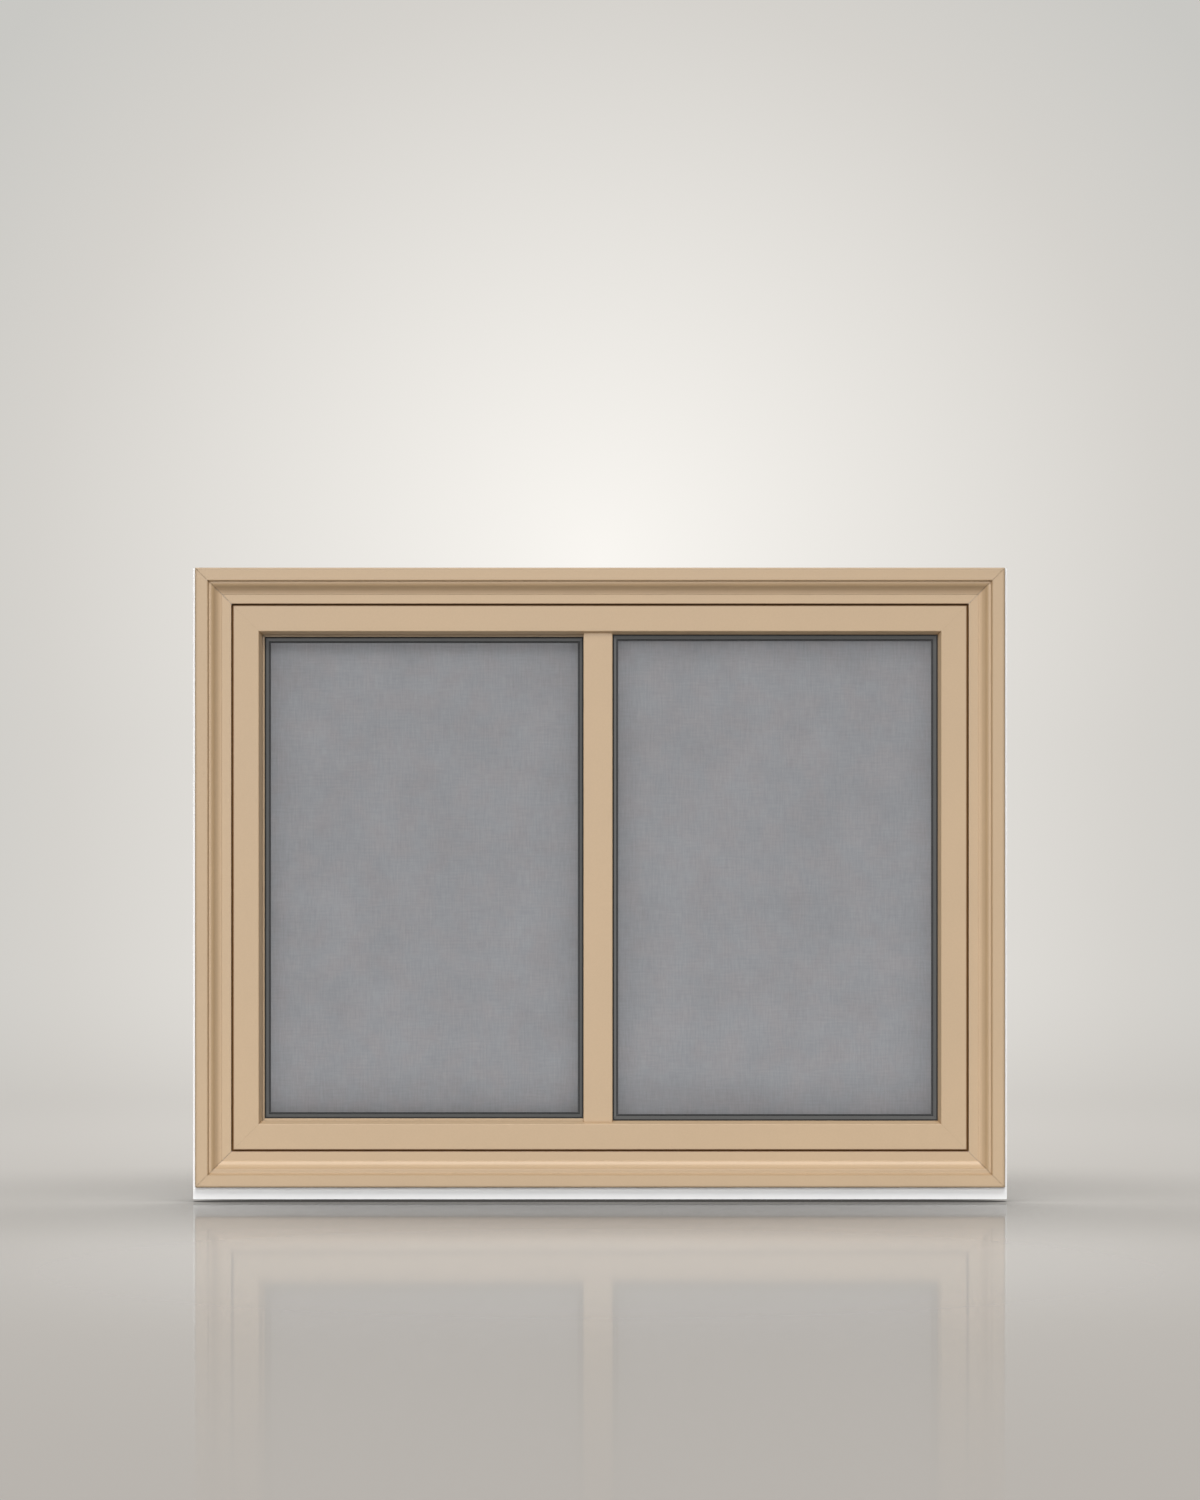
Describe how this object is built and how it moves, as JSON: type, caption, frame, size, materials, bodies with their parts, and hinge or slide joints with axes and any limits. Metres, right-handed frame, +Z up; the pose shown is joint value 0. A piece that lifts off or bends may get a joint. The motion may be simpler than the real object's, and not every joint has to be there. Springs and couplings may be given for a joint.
{
  "type": "two-lite sliding storm window",
  "caption": "Wide storm window with a mitred ogee casing, a multi-track aluminium frame, charcoal insect screens, sliding glass sashes behind and white expanders at the sill and sides.",
  "frame": {"origin": "bottom middle of the sill casing's back face, on the wall surface", "axes": "+X to the right along the wall as seen from outdoors, +Z up, the window faces -Y"},
  "size_m": [1.2258, 0.082, 0.951],
  "materials": {
    "tan_paint": "satin tan paint on extruded aluminium",
    "charcoal_paint": "matt charcoal paint on roll-formed aluminium",
    "sash_paint": "satin tan paint on extruded aluminium",
    "spline_rubber": "black foam-rubber spline",
    "gasket_rubber": "black glazing gasket",
    "seal_foam": "dark brown foam seal",
    "screen_mesh": "woven grey screen cloth",
    "clear_glass": "clear float glass",
    "white_vinyl": "white vinyl"
  },
  "bodies": {
    "root": {"head_casing": "tan_paint", "sill_casing": "tan_paint", "left_casing": "tan_paint", "right_casing": "tan_paint", "head_track": "tan_paint", "sill_track": "tan_paint", "left_track": "tan_paint", "right_track": "tan_paint", "centre_mullion": "tan_paint", "casing_seal": "seal_foam", "left_screen_top_rail": "charcoal_paint", "left_screen_bottom_rail": "charcoal_paint", "left_screen_left_stile": "charcoal_paint", "left_screen_right_stile": "charcoal_paint", "left_screen_spline": "spline_rubber", "left_screen_mesh": "screen_mesh", "left_screen_seal": "gasket_rubber", "right_screen_top_rail": "charcoal_paint", "right_screen_bottom_rail": "charcoal_paint", "right_screen_left_stile": "charcoal_paint", "right_screen_right_stile": "charcoal_paint", "right_screen_spline": "spline_rubber", "right_screen_mesh": "screen_mesh", "right_screen_seal": "gasket_rubber", "left_sash_top_rail": "sash_paint", "left_sash_bottom_rail": "sash_paint", "left_sash_left_stile": "sash_paint", "left_sash_right_stile": "sash_paint", "left_sash_gasket": "gasket_rubber", "left_sash_glass": "clear_glass", "right_sash_top_rail": "sash_paint", "right_sash_bottom_rail": "sash_paint", "right_sash_left_stile": "sash_paint", "right_sash_right_stile": "sash_paint", "right_sash_gasket": "gasket_rubber", "right_sash_glass": "clear_glass", "sill_expander": "white_vinyl", "left_expander": "white_vinyl", "right_expander": "white_vinyl"}
  },
  "joints": []
}
